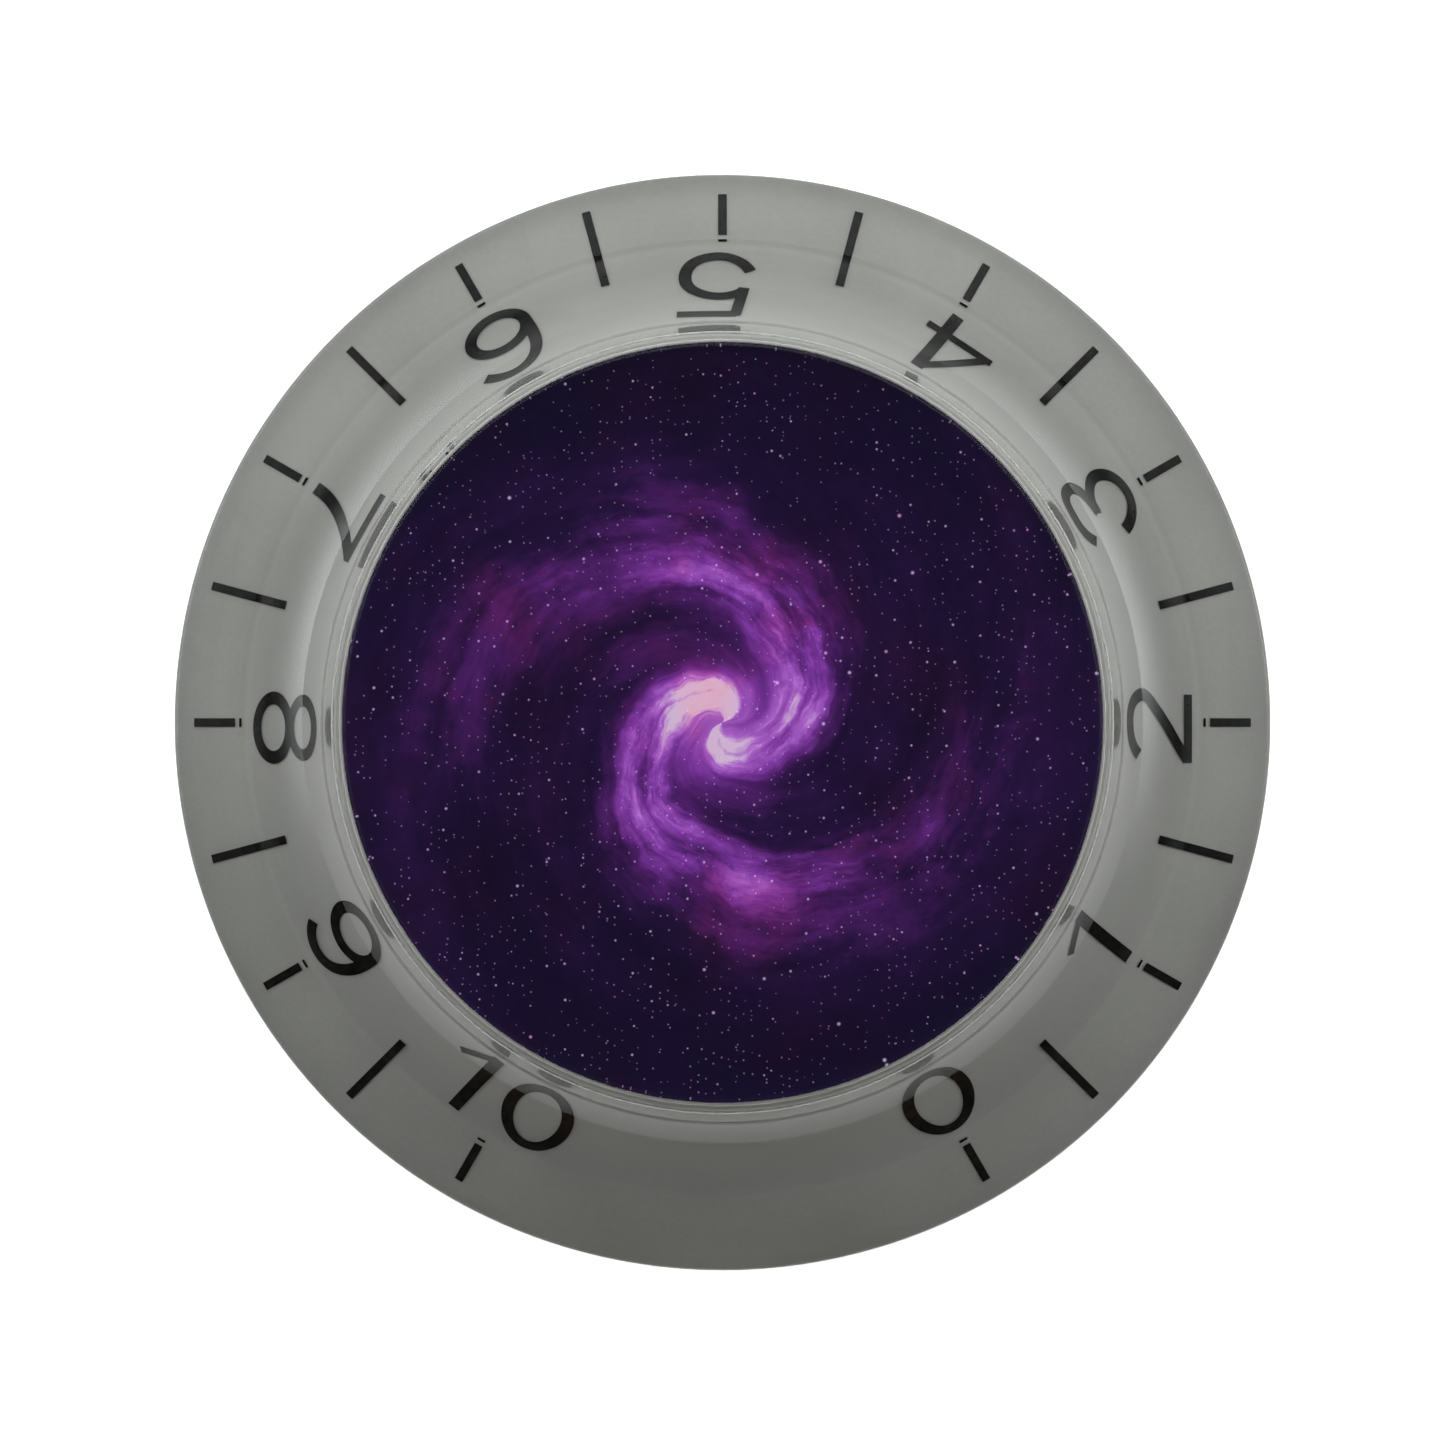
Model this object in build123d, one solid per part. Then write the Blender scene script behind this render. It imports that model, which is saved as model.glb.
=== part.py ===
"""Bell-shaped control knob for a 6 mm potentiometer shaft, with a 0 to 10 scale and a picture top.

A clear acrylic bell carries ink-filled numerals in its underside and a grey coat behind them.
Its boss holds a brass shaft insert with a grub screw, and its top a picture under a clear cap.
The frame is +Z up along the turning axis, with the origin at the centre of the rim's base.
The numeral 5 lies on +Y, and the scale runs anticlockwise from 0 to 10. Millimetres.
"""

import os
from math import acos, atan2, cos, degrees, hypot, radians, sin, tan

from build123d import *

# Outer shape of the bell
KNOB_HEIGHT = 13.5
SKIRT_RADIUS = 12.85
RIM_HEIGHT = 1.0
RIM_ROUND = 0.2
SKIRT_SLOPE = 27.0
LEDGE_OUTER_RADIUS = 11.24
LEDGE_WIDTH = 0.12
FLARE_SLOPE_LOW = 12.0
FLARE_SLOPE_HIGH = 56.0
FLARE_INNER_RADIUS = 9.26
FOOT_ROUND = 0.5
TOP_EDGE_ROUND = 0.12

# Walls and hollows
WALL = 1.0
RIM_LIP_WIDTH = 0.2
COAT_ABOVE_BASE = 0.1
COAT_THICKNESS = 0.08
TOP_LIP_WALL = 0.166
PLATE_THICKNESS = 1.6
BOSS_WALL = 1.2
NUT_RECESS_DEPTH = 4.5

# Picture stack in the top recess
PICTURE_RADIUS = 7.95
PICTURE_CLEARANCE = 0.05
ADHESIVE_THICKNESS = 0.15
PICTURE_THICKNESS = 0.25
DOME_EDGE_THICKNESS = 0.5
DOME_CROWN = 0.25
DOME_EDGE_ROUND = 0.1

# Shaft insert
SHAFT_RADIUS = 3.0
SHAFT_CLEARANCE = 0.05
INSERT_RADIUS = 4.5
INSERT_SEAT_ABOVE_PLATE = 0.4
INSERT_CHAMFER = 0.3
KNURL_COUNT = 24
KNURL_GROOVE_RADIUS = 0.22

# Grub screw, an M2 with a hexagon socket
SCREW_RADIUS = 0.98
SCREW_LENGTH = 3.0
SCREW_PITCH = 0.4
SCREW_THREAD_DEPTH = 0.16
SCREW_POINT_LENGTH = 0.6
SCREW_CLEARANCE = 0.05
SCREW_HEIGHT = 6.3
SCREW_ANGLE = 137.5
SCREW_SET_BACK = 0.1
HEX_ACROSS_FLATS = 0.9
HEX_DEPTH = 1.0
KEY_HOLE_RADIUS = 0.6
KEY_HOLE_CHAMFER = 0.1

# Scale
SCALE_COUNT = 11
ANGLE_OF_ZERO = 300.0
ANGLE_PER_STEP = 30.0
INK_DEPTH = 0.05
NUMERAL_OUTER_RADIUS = 10.88
NUMERAL_INNER_RADIUS = 8.95
NUMERAL_WIDTH = 1.7
NIB_ACROSS = 0.30
NIB_ALONG = 0.22
TEN_HALF_SPREAD = 5.0
TICK_WIDTH = 0.2
TICK_OUTER_RADIUS = 12.24
LONG_TICK_INNER_RADIUS = 10.4

# Sizes that follow from the ones above
BORE_RADIUS = SHAFT_RADIUS + SHAFT_CLEARANCE
BOSS_RADIUS = INSERT_RADIUS + BOSS_WALL
RECESS_RADIUS = PICTURE_RADIUS + PICTURE_CLEARANCE
RECESS_DEPTH = ADHESIVE_THICKNESS + PICTURE_THICKNESS + DOME_EDGE_THICKNESS
RECESS_FLOOR = KNOB_HEIGHT - RECESS_DEPTH
PLATE_UNDERSIDE = RECESS_FLOOR - PLATE_THICKNESS
POCKET_TOP = PLATE_UNDERSIDE + INSERT_SEAT_ABOVE_PLATE
BARREL_TOP = (RECESS_RADIUS + TOP_LIP_WALL, KNOB_HEIGHT - TOP_EDGE_ROUND)
LIP_INNER_RADIUS = SKIRT_RADIUS - RIM_LIP_WIDTH
NUMERAL_HEIGHT = NUMERAL_OUTER_RADIUS - NUMERAL_INNER_RADIUS
ANGLE_OF_GAP = ANGLE_OF_ZERO - ANGLE_PER_STEP
ON_BASE = (Align.CENTER, Align.CENTER, Align.MIN)


def below(point, slope, depth):
    """The point at that depth into the wall, square to a surface that falls outward at slope."""
    return (point[0] - depth * sin(radians(slope)), point[1] - depth * cos(radians(slope)))


def rim_round_point(slope):
    """The point of the rim's rounding where its surface falls outward at slope."""
    return (
        SKIRT_RADIUS - RIM_ROUND * (1 - sin(radians(slope))),
        RIM_HEIGHT + RIM_ROUND * cos(radians(slope)),
    )


SKIRT_EDGE = rim_round_point(SKIRT_SLOPE)
LEDGE_HEIGHT = SKIRT_EDGE[1] + (SKIRT_EDGE[0] - LEDGE_OUTER_RADIUS) * tan(radians(SKIRT_SLOPE))
LEDGE_EDGE = (LEDGE_OUTER_RADIUS - LEDGE_WIDTH, LEDGE_HEIGHT)


def hollow_arc(start, slopes, arc_radius):
    """Points along a hollow arc that rises from start, at the slopes its surface has there."""
    first = radians(slopes[0])
    points = []
    for slope in slopes:
        turned = radians(slope)
        run = arc_radius * (sin(turned) - sin(first))
        rise = arc_radius * (cos(first) - cos(turned))
        points.append((start[0] - run, start[1] + rise))
    return points


def slope_to_barrel_top(start, start_slope):
    """Slope of the straight barrel that leaves the foot's round, which begins at start."""
    centre_radius = start[0] + FOOT_ROUND * sin(radians(start_slope))
    centre_height = start[1] + FOOT_ROUND * cos(radians(start_slope))
    inward, up = centre_radius - BARREL_TOP[0], BARREL_TOP[1] - centre_height
    return degrees(acos(-FOOT_ROUND / hypot(inward, up)) - atan2(inward, up))


FLARE_SLOPES = (FLARE_SLOPE_LOW, (FLARE_SLOPE_LOW + FLARE_SLOPE_HIGH) / 2, FLARE_SLOPE_HIGH)
FLARE_ROUND = (LEDGE_EDGE[0] - FLARE_INNER_RADIUS) / (
    sin(radians(FLARE_SLOPE_HIGH)) - sin(radians(FLARE_SLOPE_LOW))
)
FLARE = hollow_arc(LEDGE_EDGE, FLARE_SLOPES, FLARE_ROUND)
BARREL_SLOPE = slope_to_barrel_top(FLARE[-1], FLARE_SLOPE_HIGH)
FOOT_SLOPES = (FLARE_SLOPE_HIGH, (FLARE_SLOPE_HIGH + BARREL_SLOPE) / 2, BARREL_SLOPE)
FOOT = hollow_arc(FLARE[-1], FOOT_SLOPES, FOOT_ROUND)


def barrel_radius(height):
    """Outer radius of the tapered barrel at a height."""
    return FOOT[-1][0] - (height - FOOT[-1][1]) / tan(radians(BARREL_SLOPE))


def under_line(depth):
    """Edges at that depth below the bell's outer surface, from the rim's lip to the boss."""
    slope = tan(radians(SKIRT_SLOPE))
    on_skirt = below(SKIRT_EDGE, SKIRT_SLOPE, depth)
    ledge = LEDGE_HEIGHT - depth
    lip = LIP_INNER_RADIUS - (depth - WALL)
    at_lip = (lip, on_skirt[1] - (lip - on_skirt[0]) * slope)
    at_ledge = (on_skirt[0] - (ledge - on_skirt[1]) / slope, ledge)
    flare = [below(point, s, depth) for point, s in zip(FLARE, FLARE_SLOPES)]
    foot = [below(point, s, depth) for point, s in zip(FOOT, FOOT_SLOPES)]
    plate = PLATE_UNDERSIDE - (depth - WALL)
    wall_top = (foot[-1][0] - (plate - foot[-1][1]) / tan(radians(BARREL_SLOPE)), plate)
    return [
        Line((lip, COAT_ABOVE_BASE), at_lip),
        Line(at_lip, at_ledge),
        Line(at_ledge, flare[0]),
        ThreePointArc(*flare),
        ThreePointArc(*foot),
        Line(foot[-1], wall_top),
        Line(wall_top, (BOSS_RADIUS, plate)),
    ]


def turned_solid(edges):
    """Turns a closed outline, drawn as radius and height, with its seam in the scale's gap."""
    return Rot(0, 0, ANGLE_OF_GAP) * revolve(Plane.XZ * make_face(edges), Axis.Z, 360)


def layer(shallow, deep):
    """The turned layer of the bell between two depths below its outer surface."""
    upper = under_line(shallow)
    lower = under_line(deep)
    ends = [
        Line(upper[0] @ 0, lower[0] @ 0),
        Line(upper[-1] @ 1, lower[-1] @ 1),
    ]
    return turned_solid(upper + lower + ends)


def polar(radius, angle):
    """X and Y of a point at that radius and angle."""
    return (radius * cos(radians(angle)), radius * sin(radians(angle)))


def facing_axis(angle, radius):
    """Where a numeral sits: foot at radius, head towards the axis."""
    return Pos(*polar(radius, angle)) * Rot(0, 0, angle + 90)


def on_screw_line(solid, distance):
    """A solid that stands on the base plane, laid along the grub screw's line at that distance out."""
    return Rot(0, 0, SCREW_ANGLE) * Pos(distance, 0, SCREW_HEIGHT) * Rot(0, 90, 0) * solid


def radial_drill(radius, near, far):
    """A round bar along the grub screw's line, from one distance from the axis to another."""
    return on_screw_line(Cylinder(radius, far - near, align=ON_BASE), near)


def nib_offset(direction):
    """From the middle of a pen stroke to its left edge, for an oval nib."""
    size = hypot(*direction)
    normal = (-direction[1] / size, direction[0] / size)
    across, along = NIB_ACROSS / 2, NIB_ALONG / 2
    reach = hypot(across * normal[0], along * normal[1])
    return (across**2 * normal[0] / reach, along**2 * normal[1] / reach)


def pen_stroke(*points, curved=True, weight=1.0):
    """A stroke along points given in shares of the numeral's width and height."""
    middle = [(x * NUMERAL_WIDTH, y * NUMERAL_HEIGHT) for x, y in points]
    left, right = [], []
    for i, (x, y) in enumerate(middle):
        before, after = middle[max(i - 1, 0)], middle[min(i + 1, len(middle) - 1)]
        dx, dy = nib_offset((after[0] - before[0], after[1] - before[1]))
        left.append((x + dx * weight, y + dy * weight))
        right.append((x - dx * weight, y - dy * weight))
    if not curved:
        return make_face(Polyline(*left, *reversed(right), close=True))
    ends = [Line(left[0], right[0]), Line(left[-1], right[-1])]
    return make_face([Spline(*left), Spline(*right), *ends])


def straight(start, end, weight=1.0):
    """A straight pen stroke."""
    return pen_stroke(start, end, curved=False, weight=weight)


def oval(centre, across, along, weight=1.0):
    """A closed oval stroke of that outer size, in shares of the numeral's width and height."""
    outer = (across / 2 * NUMERAL_WIDTH, along / 2 * NUMERAL_HEIGHT)
    inner = (outer[0] - NIB_ACROSS * weight, outer[1] - NIB_ALONG * weight)
    place = Pos(centre[0] * NUMERAL_WIDTH, centre[1] * NUMERAL_HEIGHT)
    return place * (Ellipse(*outer) - Ellipse(*inner))


def digit_zero():
    return oval((-0.02, 0.5), 1.0, 1.0)


def digit_one():
    return straight((0.0, 0), (0.14, 1.0)) + straight((-0.36, 0.77), (0.11, 0.96), 0.7)


def digit_two():
    bowl = pen_stroke(
        (-0.42, 0.79), (-0.24, 0.91), (0.02, 0.95), (0.27, 0.89), (0.37, 0.74),
        (0.22, 0.55), (-0.10, 0.32), (-0.50, 0.07),
    )  # fmt: skip
    return bowl + straight((-0.55, 0.055), (0.38, 0.055))


def digit_three():
    top = pen_stroke(
        (-0.40, 0.82), (-0.20, 0.93), (0.08, 0.95), (0.34, 0.88), (0.38, 0.76),
        (0.20, 0.62), (-0.09, 0.575),
    )  # fmt: skip
    bottom = pen_stroke(
        (-0.09, 0.575), (0.22, 0.52), (0.36, 0.37), (0.30, 0.18), (0.06, 0.06),
        (-0.20, 0.08), (-0.38, 0.20), (-0.46, 0.34),
    )  # fmt: skip
    return top + bottom


def digit_four():
    stem = straight((-0.02, 0), (0.14, 0.98))
    bar = straight((-0.72, 0.345), (0.30, 0.29), 0.8)
    return stem + bar + straight((-0.64, 0.345), (0.12, 0.94), 0.7)


def digit_five():
    bar = straight((-0.18, 0.93), (0.60, 0.93), 0.9)
    stem = straight((-0.16, 0.955), (-0.29, 0.50), 0.85)
    bowl = pen_stroke(
        (-0.29, 0.54), (-0.04, 0.63), (0.26, 0.60), (0.49, 0.43), (0.46, 0.20),
        (0.20, 0.06), (-0.08, 0.06), (-0.28, 0.15), (-0.38, 0.26),
    )  # fmt: skip
    return bar + stem + bowl


def digit_six():
    tail = pen_stroke(
        (0.44, 0.80), (0.24, 0.91), (0.0, 0.95), (-0.26, 0.86), (-0.39, 0.68),
        (-0.42, 0.48), (-0.412, 0.30),
    )  # fmt: skip
    return oval((0, 0.30), 1.0, 0.60) + tail


def digit_seven():
    stem = pen_stroke((0.58, 0.95), (0.30, 0.67), (0.09, 0.36), (0.0, 0.0))
    return straight((-0.36, 0.94), (0.64, 0.94), 0.9) + stem


def digit_eight():
    return oval((0.07, 0.74), 0.88, 0.48, 0.9) + oval((0.07, 0.29), 0.98, 0.58)


def digit_nine():
    tail = pen_stroke(
        (-0.44, 0.22), (-0.26, 0.09), (-0.02, 0.055), (0.22, 0.13), (0.37, 0.32),
        (0.41, 0.52), (0.402, 0.68),
    )  # fmt: skip
    return oval((0, 0.68), 0.98, 0.64) + tail


DIGITS = (
    digit_zero, digit_one, digit_two, digit_three, digit_four,
    digit_five, digit_six, digit_seven, digit_eight, digit_nine,
)  # fmt: skip


def scale_angle(value):
    """Angle of a value on the scale."""
    return ANGLE_OF_ZERO + ANGLE_PER_STEP * value


def inked(flat, ink_layer):
    """Flat marks on the base plane, raised to the ink layer in the bell's underside."""
    return extrude(flat, amount=KNOB_HEIGHT) & ink_layer


def numeral(value, ink_layer):
    """One number of the scale as ink, its digits side by side."""
    digits = [int(character) for character in str(value)]
    spread = TEN_HALF_SPREAD * (len(digits) - 1)
    flat = Sketch()
    for place, digit in enumerate(digits):
        angle = scale_angle(value) + spread * (2 * place - 1)
        flat += facing_axis(angle, NUMERAL_OUTER_RADIUS) * DIGITS[digit]()
    return inked(flat, ink_layer)


def ticks(inner_radius, angles, ink_layer):
    """Radial tick marks as ink."""
    flat = Sketch()
    for angle in angles:
        middle = (inner_radius + TICK_OUTER_RADIUS) / 2
        bar = Rectangle(TICK_WIDTH, TICK_OUTER_RADIUS - inner_radius)
        flat += facing_axis(angle, middle) * bar
    return inked(flat, ink_layer)


def bell_blank():
    """The clear bell before its ink pockets: skirt, flare, barrel, top recess and boss."""
    rim_middle = rim_round_point((90 + SKIRT_SLOPE) / 2)
    lip_top = (BARREL_TOP[0] - TOP_EDGE_ROUND, KNOB_HEIGHT)
    edge_middle = (
        lip_top[0] + TOP_EDGE_ROUND * sin(radians(45)),
        BARREL_TOP[1] + TOP_EDGE_ROUND * cos(radians(45)),
    )
    under = under_line(WALL)
    outer = [
        Polyline(under[0] @ 0, (LIP_INNER_RADIUS, 0), (SKIRT_RADIUS, 0), (SKIRT_RADIUS, RIM_HEIGHT)),
        ThreePointArc((SKIRT_RADIUS, RIM_HEIGHT), rim_middle, SKIRT_EDGE),
        Polyline(SKIRT_EDGE, (LEDGE_OUTER_RADIUS, LEDGE_HEIGHT), LEDGE_EDGE),
        ThreePointArc(*FLARE),
        ThreePointArc(*FOOT),
        Line(FOOT[-1], BARREL_TOP),
        ThreePointArc(BARREL_TOP, edge_middle, lip_top),
    ]
    recess_and_boss = Polyline(
        lip_top,
        (RECESS_RADIUS, KNOB_HEIGHT),
        (RECESS_RADIUS, RECESS_FLOOR),
        (0, RECESS_FLOOR),
        (0, POCKET_TOP),
        (INSERT_RADIUS, POCKET_TOP),
        (INSERT_RADIUS, NUT_RECESS_DEPTH),
        (BOSS_RADIUS, NUT_RECESS_DEPTH),
        under[-1] @ 1,
    )
    return turned_solid([*outer, recess_and_boss, *under])


def boss_slot():
    """Slot up the boss that lets the insert slide in with its grub screw already fitted."""
    width = 2 * (SCREW_RADIUS + SCREW_CLEARANCE)
    height = SCREW_HEIGHT - NUT_RECESS_DEPTH
    slot = Box(BOSS_WALL + WALL, width, height, align=(Align.MIN, Align.CENTER, Align.MIN))
    slot = Rot(0, 0, SCREW_ANGLE) * Pos(INSERT_RADIUS - WALL / 2, 0, NUT_RECESS_DEPTH) * slot
    return slot + radial_drill(width / 2, BORE_RADIUS, BOSS_RADIUS + WALL)


def key_hole():
    """Hole through the barrel for the grub screw's key, with a chamfered mouth."""
    mouth = barrel_radius(SCREW_HEIGHT)
    widest = KEY_HOLE_RADIUS + 2 * KEY_HOLE_CHAMFER
    countersink = Cone(KEY_HOLE_RADIUS, widest, 2 * KEY_HOLE_CHAMFER, align=ON_BASE)
    drill = radial_drill(KEY_HOLE_RADIUS, BOSS_RADIUS + WALL, SKIRT_RADIUS)
    return drill + on_screw_line(countersink, mouth - KEY_HOLE_CHAMFER)


def bell_shell(ink):
    """The clear bell with its ink pockets, the slot in its boss and the key hole in its barrel."""
    return bell_blank() - ink - [boss_slot(), key_hole()]


def backing_coat():
    """Grey coat on the bell's underside, from the rim's lip to the boss."""
    return layer(WALL, WALL + COAT_THICKNESS) - key_hole()


def shaft_insert():
    """Knurled brass bush, bored for the shaft and cross-drilled for the grub screw."""
    top, bottom = POCKET_TOP, NUT_RECESS_DEPTH
    outline = Polyline(
        (BORE_RADIUS + INSERT_CHAMFER, bottom),
        (INSERT_RADIUS, bottom),
        (INSERT_RADIUS, top - INSERT_CHAMFER),
        (INSERT_RADIUS - INSERT_CHAMFER, top),
        (BORE_RADIUS, top),
        (BORE_RADIUS, bottom + INSERT_CHAMFER),
        close=True,
    )
    groove = Pos(0, 0, bottom) * Cylinder(KNURL_GROOVE_RADIUS, top - bottom, align=ON_BASE)
    bush = turned_solid([outline]) - PolarLocations(INSERT_RADIUS, KNURL_COUNT) * groove
    return bush - radial_drill(SCREW_RADIUS + SCREW_CLEARANCE, 0, BOSS_RADIUS)


def grub_screw():
    """Hexagon socket grub screw, backed off so that its point clears the bore."""
    root = SCREW_RADIUS - SCREW_THREAD_DEPTH
    turns = int((SCREW_LENGTH - SCREW_POINT_LENGTH) / SCREW_PITCH)
    outline = [(0, 0), (root / 2, 0), (root, SCREW_POINT_LENGTH)]
    for turn in range(turns):
        height = SCREW_POINT_LENGTH + turn * SCREW_PITCH
        outline.append((SCREW_RADIUS, height + SCREW_PITCH * 0.4))
        outline.append((SCREW_RADIUS, height + SCREW_PITCH * 0.6))
        outline.append((root, height + SCREW_PITCH))
    outline += [(root, SCREW_LENGTH), (0, SCREW_LENGTH)]
    socket = extrude(RegularPolygon(HEX_ACROSS_FLATS / 2, 6, major_radius=False), HEX_DEPTH)
    body = turned_solid([Polyline(*outline, close=True)])
    body -= Pos(0, 0, SCREW_LENGTH - HEX_DEPTH) * socket
    return on_screw_line(body, BORE_RADIUS + SCREW_SET_BACK)


def disc(radius, bottom, thickness):
    """A plain disc on the knob's axis."""
    return Pos(0, 0, bottom) * Cylinder(radius, thickness, align=ON_BASE)


def adhesive_disc():
    return disc(PICTURE_RADIUS, RECESS_FLOOR, ADHESIVE_THICKNESS)


def picture_disc():
    return disc(PICTURE_RADIUS, RECESS_FLOOR + ADHESIVE_THICKNESS, PICTURE_THICKNESS)


def dome_cap():
    """Clear cap over the picture, slightly crowned, with a rounded edge."""
    bottom = KNOB_HEIGHT - DOME_EDGE_THICKNESS
    edge = (PICTURE_RADIUS, KNOB_HEIGHT - DOME_EDGE_ROUND)
    shoulder = (PICTURE_RADIUS - DOME_EDGE_ROUND, KNOB_HEIGHT)
    crown = (0, KNOB_HEIGHT + DOME_CROWN)
    sphere = (shoulder[0] ** 2 + DOME_CROWN**2) / (2 * DOME_CROWN)
    edge_middle = (
        shoulder[0] + DOME_EDGE_ROUND * sin(radians(45)),
        edge[1] + DOME_EDGE_ROUND * cos(radians(45)),
    )
    return turned_solid(
        [
            Polyline(crown, (0, bottom), (PICTURE_RADIUS, bottom), edge),
            ThreePointArc(edge, edge_middle, shoulder),
            RadiusArc(shoulder, crown, -sphere),
        ]
    )


def main():
    ink_layer = layer(WALL - INK_DEPTH, WALL)
    numbered = [scale_angle(value) for value in range(SCALE_COUNT)]
    halfway = [angle + ANGLE_PER_STEP / 2 for angle in numbered[:-1]]
    ink = {f"numeral_{value}": numeral(value, ink_layer) for value in range(SCALE_COUNT)}
    ink["number_ticks"] = ticks(LEDGE_OUTER_RADIUS, numbered, ink_layer)
    ink["half_ticks"] = ticks(LONG_TICK_INNER_RADIUS, halfway, ink_layer)
    nodes = {
        "bell_shell": bell_shell(list(ink.values())),
        "backing_coat": backing_coat(),
        "shaft_insert": shaft_insert(),
        "grub_screw": grub_screw(),
        "adhesive_disc": adhesive_disc(),
        "picture_disc": picture_disc(),
        "dome_cap": dome_cap(),
        **ink,
    }
    os.makedirs("parts", exist_ok=True)
    for name, shape in nodes.items():
        export_step(shape, f"parts/{name}.step")


if __name__ == "__main__":
    main()
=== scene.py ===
"""Looks for the numbered bell knob: clear plastic over a grey coat, printed picture, brass insert, studio."""

import math

import bmesh
import bpy
from mathutils import Matrix, Vector


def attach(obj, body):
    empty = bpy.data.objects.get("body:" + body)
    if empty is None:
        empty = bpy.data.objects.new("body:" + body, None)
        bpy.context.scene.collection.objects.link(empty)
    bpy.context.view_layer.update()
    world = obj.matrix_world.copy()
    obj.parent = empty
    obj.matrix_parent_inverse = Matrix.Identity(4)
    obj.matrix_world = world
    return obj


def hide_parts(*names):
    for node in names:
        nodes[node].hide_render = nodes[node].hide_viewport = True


MM = 0.001
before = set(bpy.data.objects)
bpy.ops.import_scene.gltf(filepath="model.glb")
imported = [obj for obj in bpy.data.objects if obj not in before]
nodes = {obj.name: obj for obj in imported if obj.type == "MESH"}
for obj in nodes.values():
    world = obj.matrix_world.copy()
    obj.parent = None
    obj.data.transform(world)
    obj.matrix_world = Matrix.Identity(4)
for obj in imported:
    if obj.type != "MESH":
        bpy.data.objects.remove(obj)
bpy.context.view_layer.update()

# ---------------------------------------------------------------- sizes, as in the CAD model, in mm
HEIGHT = 13.5
SKIRT_R = 12.85
RIM_H = 1.0
RIM_ROUND = 0.2
SKIRT_SLOPE = 27.0
LEDGE_R = 11.24
LEDGE_W = 0.12
FLARE_LOW = 12.0
FLARE_HIGH = 56.0
FLARE_R = 9.26
FOOT_ROUND = 0.5
BARREL_SLOPE = 84.2
TOP_ROUND = 0.12
WALL = 1.0
LIP_W = 0.2
COAT_FOOT = 0.1
COAT = 0.08
PLATE_Z = 11.0
BOSS_R = 5.7
BOSS_Z = 4.5
INSERT_R = 4.5
POCKET_Z = 11.4
PICTURE_R = 7.95
RECESS_R = 8.0
RECESS_Z = 12.6
DOME_Z = 13.0
DOME_CROWN = 0.25
DOME_ROUND = 0.1
SCREW_Z = 6.3
SCREW_ANGLE = 137.5
SCREW_HOLE_R = 1.03
KEY_R = 0.6
KEY_CHAMFER = 0.1
BITE = 0.025  # how far a film or an insert sinks into the clear plastic that it is bonded to
ON_AXIS = 1e-6  # a radius below this is a point on the turning axis

# ---------------------------------------------------------------- steps that the curves are drawn in
TURN_STEPS = 256
ROUND_STEPS = 8
FLARE_STEPS = 28
FOOT_STEPS = 10
UNDER_FLARE_STEPS = 24
UNDER_FOOT_STEPS = 8
CROWN_STEPS = 24


# ---------------------------------------------------------------- node graphs written as formulas
class Value:
    """A number inside a node tree, so that a pattern can be written as a formula."""

    def __init__(self, graph, socket):
        self.graph = graph
        self.socket = socket

    def __add__(self, other):
        return self.graph.math("ADD", self, other)

    __radd__ = __add__

    def __sub__(self, other):
        return self.graph.math("SUBTRACT", self, other)

    def __rsub__(self, other):
        return self.graph.math("SUBTRACT", other, self)

    def __mul__(self, other):
        return self.graph.math("MULTIPLY", self, other)

    __rmul__ = __mul__

    def __truediv__(self, other):
        return self.graph.math("DIVIDE", self, other)

    def __pow__(self, other):
        return self.graph.math("POWER", self, other)


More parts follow.
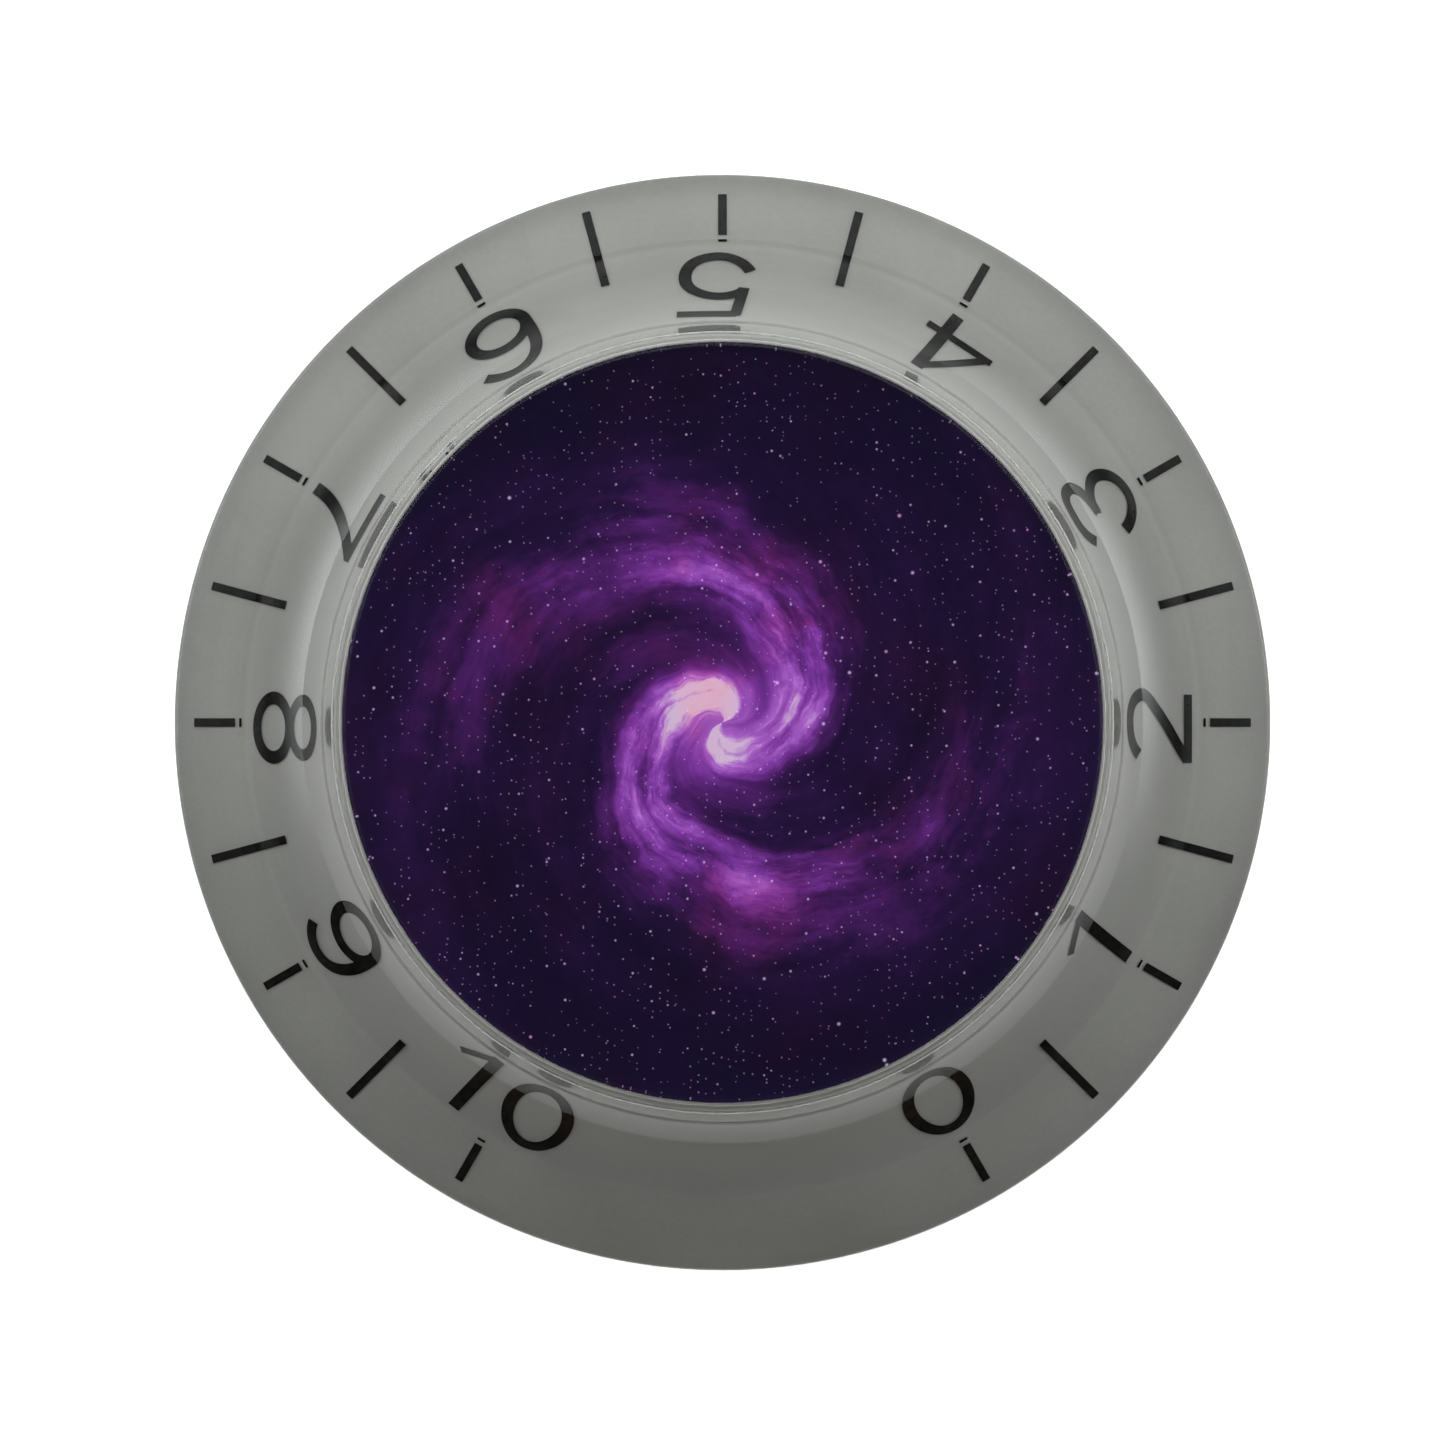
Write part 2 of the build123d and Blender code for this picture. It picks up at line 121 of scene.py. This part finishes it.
class Graph:
    """A node tree for a material, or for the sky when a tree is given."""

    def __init__(self, name, tree=None):
        if tree is None:
            self.material = bpy.data.materials.new(name)
            self.material.use_nodes = True
            tree = self.material.node_tree
        self.tree = tree
        self.tree.nodes.clear()
        place = "Generated" if name == "sky" else "Object"  # the sky's is the direction looked in
        self.coordinates = self.add("ShaderNodeTexCoord").outputs[place]

    def add(self, kind, inputs=None, **settings):
        """A new node, with its settings and with values or links fed to its inputs."""
        made = self.tree.nodes.new(kind)
        for key, value in settings.items():
            setattr(made, key, value)
        for key, value in (inputs or {}).items():
            self.feed(made.inputs[key], value)
        return made

    def feed(self, socket, value):
        if isinstance(value, Value):
            value = value.socket
        if isinstance(value, bpy.types.NodeSocket):
            self.tree.links.new(value, socket)
        else:
            socket.default_value = value

    def math(self, operation, *values):
        made = self.add("ShaderNodeMath", operation=operation)
        for socket, value in zip(made.inputs, values):
            self.feed(socket, value)
        return Value(self, made.outputs[0])

    def xyz(self, vector=None):
        parts = self.add("ShaderNodeSeparateXYZ", {0: vector or self.coordinates})
        return [Value(self, out) for out in parts.outputs]

    def vector(self, x, y, z):
        return self.add("ShaderNodeCombineXYZ", {0: x, 1: y, 2: z}).outputs[0]

    def noise(self, vector=None, scale=1.0, detail=3.0, rough=0.5, distortion=0.0):
        inputs = {
            "Vector": vector or self.coordinates,
            "Scale": scale,
            "Detail": detail,
            "Roughness": rough,
            "Distortion": distortion,
        }
        return Value(self, self.add("ShaderNodeTexNoise", inputs).outputs[0])

    def smooth(self, value, low, high, to_low=0.0, to_high=1.0):
        """to_low where value is below low, to_high where it is above high, and a soft step between."""
        inputs = {"Value": value, "From Min": low, "From Max": high, "To Min": to_low, "To Max": to_high}
        made = self.add("ShaderNodeMapRange", inputs, interpolation_type="SMOOTHSTEP")
        return Value(self, made.outputs[0])

    def hump(self, value, width):
        """1 where value is 0, falling smoothly to 0 on both sides."""
        return self.math("EXPONENT", (value / width) ** 2.0 * -1.0)

    def ramp(self, value, stops):
        made = self.add("ShaderNodeValToRGB", {0: value})
        elements = made.color_ramp.elements
        while len(elements) < len(stops):
            elements.new(0.5)
        for element, (place, colour) in zip(elements, stops):
            element.position = place
            element.color = (*colour, 1.0)
        return made.outputs[0]

    def mix(self, factor, a, b, blend="MIX"):
        made = self.add("ShaderNodeMix", data_type="RGBA", blend_type=blend, clamp_factor=True)
        self.feed(made.inputs[0], factor)
        for socket, value in ((made.inputs[6], a), (made.inputs[7], b)):
            self.feed(socket, (*value, 1.0) if isinstance(value, tuple) else value)
        return made.outputs[2]

    def reach(self):
        """Distance from the turning axis, in metres."""
        x, y, _ = self.xyz()
        return self.math("SQRT", x**2.0 + y**2.0)

    def bump(self, height, strength, distance):
        inputs = {"Height": height, "Strength": strength, "Distance": distance}
        return self.add("ShaderNodeBump", inputs).outputs[0]

    def finish(self, inputs):
        """Ends the tree in one plain surface, and gives its material."""
        shader = self.add("ShaderNodeBsdfPrincipled", inputs)
        self.add("ShaderNodeOutputMaterial", {0: shader.outputs[0]})
        return self.material


def clear_plastic(name, tint, roughness, scratch):
    """Clear polished plastic that lets shadow rays through, with faint wear in its polish.

    Its reflection is weaker than real acrylic's, so that the ink below it stays black.
    """
    g = Graph(name)
    x, y, z = g.xyz()
    haze = g.noise(scale=420.0, detail=4.0, rough=0.6)
    hair = g.noise(g.vector(x * 9000.0, y * 900.0, z * 900.0), detail=2.0)
    hair = g.smooth(hair, 0.66, 0.74)
    rough = haze * (roughness * 0.8) + roughness * 0.6 + hair * scratch
    inputs = {
        "Base Color": (*tint, 1.0),
        "Transmission Weight": 1.0,
        "IOR": 1.49,
        "Specular Tint": (0.35, 0.35, 0.35, 1.0),
        "Roughness": rough,
        "Normal": g.bump(haze, 0.05, 0.00002),
    }
    glass = g.add("ShaderNodeBsdfPrincipled", inputs)
    through = g.add("ShaderNodeBsdfTransparent", {0: (0.93, 0.93, 0.93, 1.0)})
    is_shadow = g.add("ShaderNodeLightPath").outputs["Is Shadow Ray"]
    both = g.add("ShaderNodeMixShader", {0: is_shadow, 1: glass.outputs[0], 2: through.outputs[0]})
    g.add("ShaderNodeOutputMaterial", {0: both.outputs[0]})
    return g.material


def coat_material():
    """Silver-grey sprayed film: fine metallic grain over slow unevenness, with painted light that makes it
    lighter towards the barrel.
    """
    g = Graph("coat_look")
    cloud = g.noise(scale=260.0, detail=3.0)
    grain = g.noise(scale=9000.0, detail=2.0, rough=0.7)
    shade = g.smooth(cloud * 0.65 + grain * 0.35, 0.3, 0.7)
    # painted light: these lines make the film lighter towards the barrel, standing in for the light that the
    # steep inner flare catches from low down
    barrel_painted_light = g.smooth(g.reach(), 9.1 * MM, 11.3 * MM, 1.0, 0.0)
    colour = g.mix(shade, (0.260, 0.261, 0.249), (0.302, 0.303, 0.289))
    colour = g.mix(barrel_painted_light, colour, (0.334, 0.336, 0.321))
    inputs = {
        "Base Color": colour,
        "Roughness": grain * 0.2 + 0.42,
        "Metallic": 0.1,
        "Specular IOR Level": 0.15,
        "Normal": g.bump(grain, 0.15, 0.00001),
    }
    return g.finish(inputs)


def ink_material():
    """Black printing ink, a little uneven in cover."""
    g = Graph("ink_look")
    patch = g.noise(scale=5200.0, detail=4.0, rough=0.7)
    cover = g.smooth(patch, 0.35, 0.72)
    inputs = {
        "Base Color": g.mix(cover, (0.003, 0.003, 0.003), (0.011, 0.011, 0.010)),
        "Roughness": patch * 0.3 + 0.5,
        "Specular IOR Level": 0.02,
        "Normal": g.bump(patch, 0.1, 0.00001),
    }
    return g.finish(inputs)


def picture_material():
    """A printed galaxy of no particular kind: a round violet spiral seen face on, with stars."""
    g = Graph("picture_look")
    smooth = g.smooth
    # across the picture, x and y run from -1 to 1
    x, y, _ = g.xyz()
    x = x / (PICTURE_R * MM)
    y = y / (PICTURE_R * MM)
    flat = g.vector(x, y, 0.0)
    # a slow warp of the plane, so that nothing follows an exact curve
    wx = x + (g.noise(flat, scale=2.0, detail=4.0, rough=0.6) - 0.5) * 0.20
    wy = y + (g.noise(g.vector(x, y, 9.0), scale=2.0, detail=4.0, rough=0.6) - 0.5) * 0.20
    out = g.math("SQRT", wx**2.0 + wy**2.0)
    # swirl is constant along a spiral line, and each arm follows one
    arms, winding = 2.0, 2.4
    swirl = g.math("ARCTAN2", wy, wx) - g.math("LOGARITHM", out + 0.10, math.e) * winding
    arm = smooth(g.math("COSINE", swirl * arms), -0.7, 1.0)
    streak_place = g.vector(g.math("COSINE", swirl), g.math("SINE", swirl), out * 3.0)
    streak = g.noise(streak_place, scale=2.0, detail=9.0, rough=0.64)
    billow = g.noise(g.vector(wx, wy, 2.0), scale=3.5, detail=9.0, rough=0.66)
    mottle = smooth(streak, 0.25, 0.75, 0.35, 1.5) * smooth(billow, 0.28, 0.72, 0.5, 1.4)
    glow = g.hump(out, 0.62) * (arm * 0.52 + 0.16) * mottle + g.hump(out, 0.15) * 0.55
    tone = g.ramp(
        glow,
        [
            (0.00, (0.007, 0.004, 0.024)),
            (0.12, (0.026, 0.008, 0.062)),
            (0.30, (0.110, 0.020, 0.190)),
            (0.52, (0.300, 0.060, 0.500)),
            (0.75, (0.600, 0.180, 0.820)),
            (1.00, (0.950, 0.700, 0.960)),
        ],
    )
    # some clouds are rosier
    patch = g.noise(g.vector(wx, wy, 5.0), scale=2.6, detail=6.0, rough=0.6)
    rose = smooth(patch, 0.46, 0.64) * 0.5
    tone = g.mix(rose, tone, g.mix(1.0, tone, (1.4, 0.85, 0.70), blend="MULTIPLY"))
    # stars: a dust of faint points, fewer clear ones, and a few large ones
    star_layers = ((50.0, 0.20, 0.74, 0.5), (22.0, 0.12, 0.80, 1.0), (6.0, 0.05, 0.50, 1.0))
    for scale, size, keep, power in star_layers:
        cells = g.add("ShaderNodeTexVoronoi", {"Vector": flat, "Scale": scale}, voronoi_dimensions="2D")
        chance, hue, size_of = g.xyz(cells.outputs["Color"])
        distance = Value(g, cells.outputs["Distance"])
        point = smooth(distance / (size_of * 0.6 + 0.5), 0.0, size, 1.0, 0.0) ** 2.0
        point = point * g.math("GREATER_THAN", chance, keep)
        colour = g.mix(hue, (1.0, 0.40, 0.95), (0.75, 0.75, 1.0))
        tone = g.mix(point * power, tone, colour, blend="ADD")
    grain = g.noise(scale=60000.0, detail=1.0)
    inputs = {
        "Base Color": tone,
        "Roughness": grain * 0.1 + 0.3,
        "Specular IOR Level": 0.05,
        "Normal": g.bump(grain, 0.05, 0.000005),
    }
    return g.finish(inputs)


def brass_material():
    """Turned brass: rings left by the tool, slight tarnish."""
    g = Graph("brass_look")
    z = g.xyz()[2]
    rings = g.noise(g.vector(g.reach() * 14000.0, z * 14000.0, 0.0), detail=2.0)
    stain = g.noise(scale=700.0, detail=5.0, rough=0.6)
    inputs = {
        "Base Color": g.mix(g.smooth(stain, 0.4, 0.75), (0.80, 0.57, 0.25), (0.52, 0.35, 0.15)),
        "Metallic": 1.0,
        "Roughness": stain * 0.25 + rings * 0.1 + 0.14,
        "Normal": g.bump(rings, 0.25, 0.00001),
    }
    return g.finish(inputs)


def steel_material():
    """Blackened steel with brighter wear on its threads."""
    g = Graph("screw_look")
    wear = g.noise(scale=3000.0, detail=5.0, rough=0.65)
    inputs = {
        "Base Color": g.mix(g.smooth(wear, 0.5, 0.72), (0.05, 0.05, 0.055), (0.30, 0.29, 0.28)),
        "Metallic": 1.0,
        "Roughness": wear * 0.35 + 0.25,
        "Normal": g.bump(wear, 0.1, 0.00001),
    }
    return g.finish(inputs)


def adhesive_material():
    """Milky adhesive film with small trapped bubbles."""
    g = Graph("adhesive_look")
    bubbles = g.add("ShaderNodeTexVoronoi", {"Vector": g.coordinates, "Scale": 1500.0}).outputs["Distance"]
    spots = g.smooth(Value(g, bubbles), 0.08, 0.16)
    inputs = {
        "Base Color": g.mix(spots, (0.62, 0.62, 0.58), (0.80, 0.80, 0.76)),
        "Roughness": spots * 0.2 + 0.35,
        "Normal": g.bump(spots, 0.2, 0.00002),
    }
    return g.finish(inputs)


def floor_material():
    """Plain pale card, evenly lit from within so that it stays white."""
    g = Graph("floor_look")
    fibre = g.noise(scale=900.0, detail=4.0)
    inputs = {
        "Base Color": g.mix(fibre, (0.86, 0.86, 0.86), (0.88, 0.88, 0.88)),
        "Roughness": 0.9,
        "Specular IOR Level": 0.1,
        "Emission Color": (1.0, 1.0, 1.0, 1.0),
        "Emission Strength": 0.75,
    }
    return g.finish(inputs)


# ---------------------------------------------------------------- turned shapes
def arc(centre, radius, start, end, steps=10):
    """Points of an arc in the profile plane, from one angle to another in degrees."""
    points = []
    for i in range(steps + 1):
        a = math.radians(start + (end - start) * i / steps)
        points.append((centre[0] + radius * math.cos(a), centre[1] + radius * math.sin(a)))
    return points


def hollow_arc(start, low, high, radius, depth, steps):
    """Points of a hollow arc that rises inward from start, at a depth into the wall."""
    points = []
    for i in range(steps + 1):
        slope = math.radians(low + (high - low) * i / steps)
        run = radius * (math.sin(slope) - math.sin(math.radians(low)))
        rise = radius * (math.cos(math.radians(low)) - math.cos(slope))
        r = start[0] - run - depth * math.sin(slope)
        z = start[1] + rise - depth * math.cos(slope)
        points.append((r, z))
    return points


SKIRT_TILT = math.radians(SKIRT_SLOPE)
SKIRT_RISE = math.tan(SKIRT_TILT)
BARREL_RISE = math.tan(math.radians(BARREL_SLOPE))
SKIRT_EDGE = (
    SKIRT_R - RIM_ROUND * (1 - math.sin(SKIRT_TILT)),
    RIM_H + RIM_ROUND * math.cos(SKIRT_TILT),
)
LEDGE_Z = SKIRT_EDGE[1] + (SKIRT_EDGE[0] - LEDGE_R) * SKIRT_RISE
LEDGE_IN = (LEDGE_R - LEDGE_W, LEDGE_Z)
FLARE_SINES = math.sin(math.radians(FLARE_HIGH)) - math.sin(math.radians(FLARE_LOW))
FLARE_ROUND = (LEDGE_IN[0] - FLARE_R) / FLARE_SINES
FLARE_END = hollow_arc(LEDGE_IN, FLARE_LOW, FLARE_HIGH, FLARE_ROUND, 0.0, 1)[-1]
FOOT_END = hollow_arc(FLARE_END, FLARE_HIGH, BARREL_SLOPE, FOOT_ROUND, 0.0, 1)[-1]


def barrel_r(z):
    """Outer radius of the barrel at a height."""
    return FOOT_END[0] - (z - FOOT_END[1]) / BARREL_RISE


def under_profile(depth, plate_z):
    """The bell's profile at a depth below its outer surface, from the rim's lip to the boss."""
    on_skirt = (SKIRT_EDGE[0] - depth * math.sin(SKIRT_TILT), SKIRT_EDGE[1] - depth * math.cos(SKIRT_TILT))
    lip_r = SKIRT_R - LIP_W - (depth - WALL)
    ledge_z = LEDGE_Z - depth
    points = [
        (lip_r, COAT_FOOT),
        (lip_r, on_skirt[1] - (lip_r - on_skirt[0]) * SKIRT_RISE),
        (on_skirt[0] - (ledge_z - on_skirt[1]) / SKIRT_RISE, ledge_z),
    ]
    points += hollow_arc(LEDGE_IN, FLARE_LOW, FLARE_HIGH, FLARE_ROUND, depth, UNDER_FLARE_STEPS)
    points += hollow_arc(FLARE_END, FLARE_HIGH, BARREL_SLOPE, FOOT_ROUND, depth, UNDER_FOOT_STEPS)[1:]
    last = points[-1]
    points.append((last[0] - (plate_z - last[1]) / BARREL_RISE, plate_z))
    points.append((BOSS_R, plate_z))
    return points


def linked(name, bm):
    """An object in the scene, made from a mesh under construction, which is freed."""
    mesh = bpy.data.meshes.new(name)
    bm.to_mesh(mesh)
    bm.free()
    made = bpy.data.objects.new(name, mesh)
    bpy.context.scene.collection.objects.link(made)
    return made


def turned(name, profile, segments=TURN_STEPS, sharp_above=22.0):
    """A closed solid turned about the axis from a profile of radius and height in mm."""
    bm = bmesh.new()
    rings = []
    for r, z in profile:
        if r < ON_AXIS:
            rings.append([bm.verts.new((0, 0, z * MM))])
            continue
        ring = []
        for i in range(segments):
            a = 2 * math.pi * i / segments
            ring.append(bm.verts.new((r * MM * math.cos(a), r * MM * math.sin(a), z * MM)))
        rings.append(ring)
    count = len(profile)
    closed = profile[0][0] > ON_AXIS
    for k in range(count if closed else count - 1):
        a, b = rings[k], rings[(k + 1) % count]
        for i in range(segments):
            j = (i + 1) % segments
            corners = [a[i % len(a)], a[j % len(a)], b[j % len(b)], b[i % len(b)]]
            corners = list(dict.fromkeys(corners))
            if len(corners) > 2:
                bm.faces.new(corners)
    bmesh.ops.recalc_face_normals(bm, faces=bm.faces)
    for face in bm.faces:
        face.smooth = True
    for k in range(count):
        before, here, after = profile[k - 1], profile[k], profile[(k + 1) % count]
        a = Vector((here[0] - before[0], here[1] - before[1]))
        b = Vector((after[0] - here[0], after[1] - here[1]))
        if len(rings[k]) == 1 or a.length == 0 or b.length == 0:
            continue
        if math.degrees(a.angle(b)) > sharp_above:
            ring = rings[k]
            for i in range(segments):
                edge = bm.edges.get((ring[i], ring[(i + 1) % segments]))
                if edge:
                    edge.smooth = False
    return linked(name, bm)


def bar(name, near_r, far_r, near, far, segments=48):
    """A round or conical bar along the grub screw's line, for cutting."""
    bm = bmesh.new()
    bmesh.ops.create_cone(
        bm,
        cap_ends=True,
        segments=segments,
        radius1=near_r * MM,
        radius2=far_r * MM,
        depth=(far - near) * MM,
    )
    along = Matrix.Rotation(math.radians(SCREW_ANGLE), 4, "Z")
    along = along @ Matrix.Translation(((near + far) / 2 * MM, 0, SCREW_Z * MM))
    bm.transform(along @ Matrix.Rotation(math.radians(90), 4, "Y"))
    return linked(name, bm)


def block(name, near, far, width, low, high):
    """A box along the grub screw's line, for cutting."""
    bm = bmesh.new()
    bmesh.ops.create_cube(bm, size=1.0)
    bm.transform(Matrix.Diagonal(((far - near) * MM, width * MM, (high - low) * MM, 1.0)))
    place = Matrix.Translation(((near + far) / 2 * MM, 0, (low + high) / 2 * MM))
    bm.transform(Matrix.Rotation(math.radians(SCREW_ANGLE), 4, "Z") @ place)
    return linked(name, bm)


def cut(target, tools):
    """Takes the tools away from the target, and removes them."""
    for tool in tools:
        modifier = target.modifiers.new(tool.name, "BOOLEAN")
        modifier.object = tool
        modifier.operation = "DIFFERENCE"
        modifier.solver = "EXACT"
    bpy.context.view_layer.update()
    graph = bpy.context.evaluated_depsgraph_get()
    mesh = bpy.data.meshes.new_from_object(target.evaluated_get(graph), depsgraph=graph)
    target.modifiers.clear()
    target.data = mesh
    for tool in tools:
        bpy.data.objects.remove(tool, do_unlink=True)
    sharpen(mesh)


def sharpen(mesh, above=30.0):
    """Marks the edges that a cut left as sharp."""
    bm = bmesh.new()
    bm.from_mesh(mesh)
    for edge in bm.edges:
        if len(edge.link_faces) == 2 and math.degrees(edge.calc_face_angle(0.0)) > above:
            edge.smooth = False
    bm.to_mesh(mesh)
    bm.free()


# ---------------------------------------------------------------- the clear bell
top_r = barrel_r(HEIGHT - TOP_ROUND)
shell_profile = [(SKIRT_R - LIP_W, 0.0), (SKIRT_R, 0.0)]
shell_profile += arc((SKIRT_R - RIM_ROUND, RIM_H), RIM_ROUND, 0, 90 - SKIRT_SLOPE, ROUND_STEPS)
shell_profile += [(LEDGE_R, LEDGE_Z)]
shell_profile += hollow_arc(LEDGE_IN, FLARE_LOW, FLARE_HIGH, FLARE_ROUND, 0.0, FLARE_STEPS)
shell_profile += hollow_arc(FLARE_END, FLARE_HIGH, BARREL_SLOPE, FOOT_ROUND, 0.0, FOOT_STEPS)[1:]
shell_profile += arc((top_r - TOP_ROUND, HEIGHT - TOP_ROUND), TOP_ROUND, 0, 90, ROUND_STEPS)
shell_profile += [(RECESS_R, HEIGHT), (RECESS_R, RECESS_Z + BITE), (0.0, RECESS_Z + BITE)]
inner = [
    (0.0, POCKET_Z - BITE),
    (INSERT_R - BITE, POCKET_Z - BITE),
    (INSERT_R - BITE, BOSS_Z),
    (BOSS_R, BOSS_Z),
]
inner += list(reversed(under_profile(WALL, PLATE_Z)))
shell = turned("clear_bell", inner + shell_profile)
# the cuts start and end clear of the walls that they go through
key_start = BOSS_R + 0.8
boss_near = INSERT_R - 0.5
boss_far = BOSS_R + 0.6
mouth_near = barrel_r(SCREW_Z) - KEY_CHAMFER
mouth_far = barrel_r(SCREW_Z) + 2 * KEY_CHAMFER
cut(
    shell,
    [
        bar("key_hole", KEY_R, KEY_R, key_start, SKIRT_R),
        bar("key_mouth", KEY_R, KEY_R + 3 * KEY_CHAMFER, mouth_near, mouth_far),
        bar("boss_hole", SCREW_HOLE_R, SCREW_HOLE_R, boss_near, boss_far),
        block("boss_slot", boss_near, boss_far, 2 * SCREW_HOLE_R, BOSS_Z - 0.5, SCREW_Z),
    ],
)
shell.data.materials.clear()
shell.data.materials.append(clear_plastic("clear_plastic", (0.985, 0.99, 0.98), 0.035, 0.10))
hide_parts("bell_shell")
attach(shell, "knob")

# ---------------------------------------------------------------- the grey coat, bonded to the bell
front = under_profile(WALL - BITE, PLATE_Z + BITE)
back = under_profile(WALL + COAT, PLATE_Z - COAT)
coat = turned("grey_coat", front + list(reversed(back)))
cut(coat, [bar("coat_hole", KEY_R, KEY_R, key_start, SKIRT_R)])
coat.data.materials.clear()
coat.data.materials.append(coat_material())
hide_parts("backing_coat")
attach(coat, "knob")

# ---------------------------------------------------------------- the clear cap, bonded to the picture
shoulder = PICTURE_R - DOME_ROUND
sphere = (shoulder**2 + DOME_CROWN**2) / (2 * DOME_CROWN)
crown = []
for i in range(CROWN_STEPS + 1):
    r = shoulder * i / CROWN_STEPS
    crown.append((r, HEIGHT + DOME_CROWN - sphere + math.sqrt(sphere**2 - r**2)))
edge = list(reversed(arc((shoulder, HEIGHT - DOME_ROUND), DOME_ROUND, 0, 90, ROUND_STEPS)))
dome = turned("clear_cap", crown + edge[1:] + [(PICTURE_R, DOME_Z - BITE), (0.0, DOME_Z - BITE)])
dome.data.materials.append(clear_plastic("cap_plastic", (0.99, 0.99, 0.99), 0.02, 0.05))
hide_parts("dome_cap")
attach(dome, "knob")


# ---------------------------------------------------------------- finishes on the CAD's own pieces
def paint(node, material):
    """Gives a CAD node's object one material."""
    data = nodes[node].data
    data.materials.clear()
    data.materials.append(material)


ink = ink_material()
for node in nodes:
    if node.startswith("numeral_") or node.endswith("_ticks"):
        paint(node, ink)
paint("picture_disc", picture_material())
paint("adhesive_disc", adhesive_material())
paint("shaft_insert", brass_material())
paint("grub_screw", steel_material())


# ---------------------------------------------------------------- studio
# one soft panel beyond the knob's far side, facing it
key_place = Vector((0.02, 0.26, 0.15))
key_target = Vector((0, 0, 0.004))
key_data = bpy.data.lights.new("key", "AREA")
key_data.shape = "RECTANGLE"
key_data.size = 0.26
key_data.size_y = 0.14
key_data.energy = 0.075
key_data.color = (1.0, 1.0, 0.985)
key = bpy.data.objects.new("key", key_data)
key.location = key_place
key.rotation_euler = (key_target - key_place).to_track_quat("-Z", "Y").to_euler()
bpy.context.scene.collection.objects.link(key)

# the sky, by direction: soft light from the far side, more of it low down at the left and right, a bright
# ring high up round a dark zenith, and a weak warm glow from the near side
HIGH_POWER = 1.3
LOW_POWER = 6.5
OVERHEAD_POWER = 2.3
NEAR_POWER = 0.17
world = bpy.data.worlds.new("studio")
bpy.context.scene.world = world
world.use_nodes = True
sky = Graph("sky", world.node_tree)
side_x, side_y, side_z = sky.xyz()
round_about = sky.smooth(side_y, -0.42, 0.20)
sideways = side_x * side_x
high = sky.smooth(side_z, 0.20, 1.00, 1.0, 0.0) * (1.0 - sideways * 0.62)
low = sky.smooth(side_z, 0.05, 0.55, 1.0, 0.0) * sideways
near_side = sky.smooth(side_y, -1.0, -0.45, 1.0, 0.0) * sky.smooth(side_z, 0.3, 0.8, 1.0, 0.0)
dim = sky.smooth(side_z, 0.55, 0.92, 0.06, 0.01)
tint = sky.mix(near_side, (0.98, 1.0, 1.0), (1.0, 0.58, 0.34))
overhead = sky.smooth(side_z, 0.60, 0.80) * sky.smooth(side_z, 0.90, 0.985, 1.0, 0.0)
overhead = overhead * sky.smooth(side_y, -0.50, 0.50, 0.10, 1.0)
strength = round_about * (high * HIGH_POWER + low * LOW_POWER)
strength = strength + overhead * OVERHEAD_POWER + dim + near_side * NEAR_POWER
background = sky.add("ShaderNodeBackground", {0: tint, 1: strength})
sky.add("ShaderNodeOutputWorld", {0: background.outputs[0]})

# the floor lies just below the rim, so that the two never share a face
floor_grid = bmesh.new()
bmesh.ops.create_grid(floor_grid, x_segments=2, y_segments=2, size=0.6)
floor = linked("floor", floor_grid)
floor.location = (0, 0, -0.02 * MM)
floor.data.materials.append(floor_material())

# the camera is straight above, close enough that higher parts look slightly larger
camera_data = bpy.data.cameras.new("camera")
camera_data.lens = 119.0
camera_data.sensor_width = 36.0
camera_data.clip_start = 0.005
camera = bpy.data.objects.new("camera", camera_data)
camera.location = (0, 0, 0.113)
bpy.context.scene.collection.objects.link(camera)
bpy.context.scene.camera = camera
bpy.context.scene.view_settings.view_transform = "Standard"
bpy.context.scene.view_settings.look = "None"
